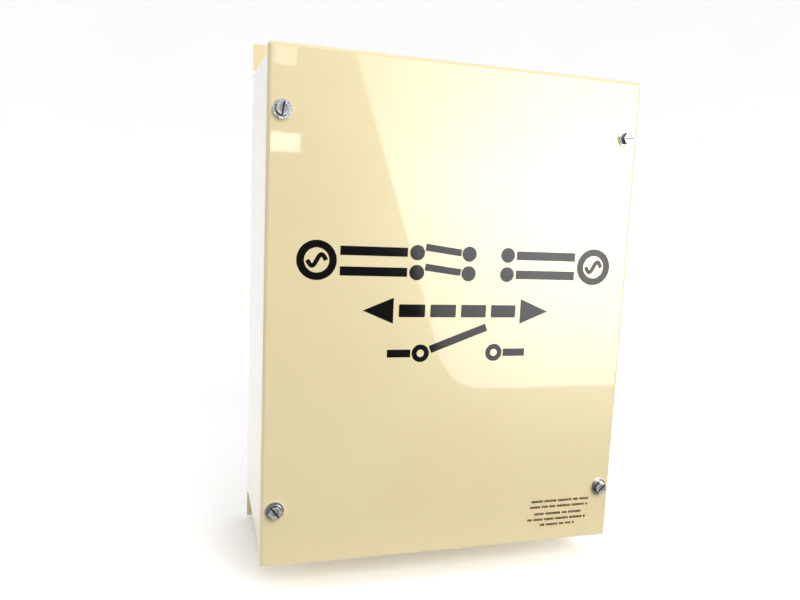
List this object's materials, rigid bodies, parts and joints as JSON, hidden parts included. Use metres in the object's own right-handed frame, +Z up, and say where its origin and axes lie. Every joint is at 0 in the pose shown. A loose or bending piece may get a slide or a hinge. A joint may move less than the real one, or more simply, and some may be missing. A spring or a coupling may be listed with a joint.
{
  "type": "automatic transfer switch",
  "caption": "Wall-mounted automatic transfer switch: painted steel box with lift-off screwed cover, solenoid-driven transfer contacts, lugs, control relay and manual lever inside.",
  "frame": {"origin": "centre of the four wall holes, on the back face that lies on the wall", "axes": "+Z up, +Y into the wall so that the front faces -Y, +X to the viewer's right"},
  "size_m": [0.31, 0.1789, 0.455],
  "materials": {
    "box_paint": "gloss",
    "diagram_paper": "matte",
    "zinc": "bright zinc",
    "galvanised": "galvanised",
    "nylon": "satin",
    "phenolic": "moulded",
    "copper": "bare copper",
    "braid": "woven copper",
    "contact_silver": "satin",
    "lug_aluminium": "tin plated",
    "black_oxide": "black oxide",
    "vulcanised_fibre": "matte",
    "steel": "machined",
    "black_plastic": "moulded",
    "red_paint": "gloss",
    "coil_tape": "taped",
    "clear_plastic": "clear",
    "fuse_body": "satin",
    "ground_brass": "satin",
    "wire_insulation": "extruded",
    "handle_rubber": "ribbed grip"
  },
  "bodies": {
    "enclosure": {"back_plate": "box_paint", "enclosure_wrap": "box_paint", "knockout_slugs": "box_paint", "cover_weld_nuts": "zinc", "mechanism_standoffs": "zinc", "mechanism_screws": "zinc", "mechanism_frame": "galvanised", "shaft_bushings": "nylon", "contact_blocks": "phenolic", "fixed_contact_straps": "copper", "fixed_contact_tips": "contact_silver", "utility_lugs": "lug_aluminium", "standby_lugs": "lug_aluminium", "lug_set_screws": "black_oxide", "terminal_bolts": "zinc", "load_terminal_base": "phenolic", "load_straps": "copper", "load_lugs": "lug_aluminium", "braids": "braid", "arc_chute_walls": "vulcanised_fibre", "arc_plates": "steel", "solenoid_frames": "galvanised", "coil_bobbins": "nylon", "utility_coil": "coil_tape", "standby_coil": "coil_tape", "solenoid_cores": "steel", "spring_anchor": "galvanised", "switch_bracket": "galvanised", "limit_switches": "black_plastic", "control_plate": "galvanised", "relay_socket": "black_plastic", "relay_works": "copper", "relay_cover": "clear_plastic", "fuse_block": "black_plastic", "fuses": "fuse_body", "terminal_strip": "black_plastic", "neutral_bar": "lug_aluminium", "ground_lug": "ground_brass", "control_wires": "wire_insulation", "handle_clips": "galvanised"},
    "cover": {"cover": "box_paint", "wiring_diagram": "diagram_paper", "cover_washers": "zinc"},
    "cover_screw_1": {"cover_screw_1": "zinc"},
    "cover_screw_2": {"cover_screw_2": "zinc"},
    "cover_screw_3": {"cover_screw_3": "zinc"},
    "cover_screw_4": {"cover_screw_4": "zinc"},
    "rotor": {"rotor_shaft": "steel", "contact_carrier": "black_plastic", "moving_contacts": "copper", "moving_contact_tips": "contact_silver", "crank": "steel", "operating_lever": "red_paint"},
    "plungers": {"plunger_yoke": "steel"},
    "spring_guide": {"spring_guide": "steel", "spring": "black_oxide"},
    "utility_switch_lever": {"utility_switch_lever": "steel"},
    "standby_switch_lever": {"standby_switch_lever": "steel"},
    "relay_armature": {"relay_armature": "steel"},
    "manual_handle": {"manual_handle": "handle_rubber"}
  },
  "joints": [
    {"name": "transfer_shaft", "type": "hinge", "parent": "enclosure", "child": "rotor", "pos_m": [0, -0.075, 0], "axis": [1, 0, 0], "range_deg": [0, 50], "deforming": ["braids"]},
    {"name": "plunger_travel", "type": "slide", "parent": "enclosure", "child": "plungers", "axis": [0, 0, -1], "range_m": [0, 0.0186]},
    {"name": "spring_guide_pivot", "type": "hinge", "parent": "enclosure", "child": "spring_guide", "pos_m": [0.0345, -0.135, 0], "axis": [1, 0, 0], "range_deg": [-26.2, 0]},
    {"name": "utility_switch_pivot", "type": "hinge", "parent": "enclosure", "child": "utility_switch_lever", "pos_m": [0.06375, -0.0845, 0.0132], "axis": [1, 0, 0], "range_deg": [0, 8]},
    {"name": "standby_switch_pivot", "type": "hinge", "parent": "enclosure", "child": "standby_switch_lever", "pos_m": [0.06375, -0.0845, -0.0132], "axis": [1, 0, 0], "range_deg": [0, 8]},
    {"name": "relay_armature_pivot", "type": "hinge", "parent": "enclosure", "child": "relay_armature", "pos_m": [0.115, -0.0831, 0.0925], "axis": [1, 0, 0], "range_deg": [0, 4], "stiffness_Nm_per_rad": 0.02, "springref_deg": -8.59},
    {"name": "cover_lift", "type": "slide", "parent": "enclosure", "child": "cover", "axis": [0, -1, 0], "range_m": [0, 0.1]},
    {"name": "cover_screw_turn_1", "type": "hinge", "parent": "cover", "child": "cover_screw_1", "pos_m": [-0.144, -0.172, 0.155], "axis": [0, 1, 0], "continuous": true},
    {"name": "cover_screw_turn_2", "type": "hinge", "parent": "cover", "child": "cover_screw_2", "pos_m": [0.144, -0.172, 0.155], "axis": [0, 1, 0], "continuous": true},
    {"name": "cover_screw_turn_3", "type": "hinge", "parent": "cover", "child": "cover_screw_3", "pos_m": [-0.144, -0.172, -0.155], "axis": [0, 1, 0], "continuous": true},
    {"name": "cover_screw_turn_4", "type": "hinge", "parent": "cover", "child": "cover_screw_4", "pos_m": [0.144, -0.172, -0.155], "axis": [0, 1, 0], "continuous": true},
    {"name": "manual_handle_pull", "type": "slide", "parent": "enclosure", "child": "manual_handle", "axis": [0, -1, 0], "range_m": [0, 0.06]}
  ],
  "couplings": [
    {"joint": "plunger_travel", "follows": "transfer_shaft", "m_per_rad": 0.021309},
    {"joint": "spring_guide_pivot", "follows": "transfer_shaft", "ratio": -0.52265},
    {"joint": "utility_switch_pivot", "follows": "transfer_shaft", "ratio": 0.16},
    {"joint": "standby_switch_pivot", "follows": "transfer_shaft", "ratio": 0.16}
  ]
}
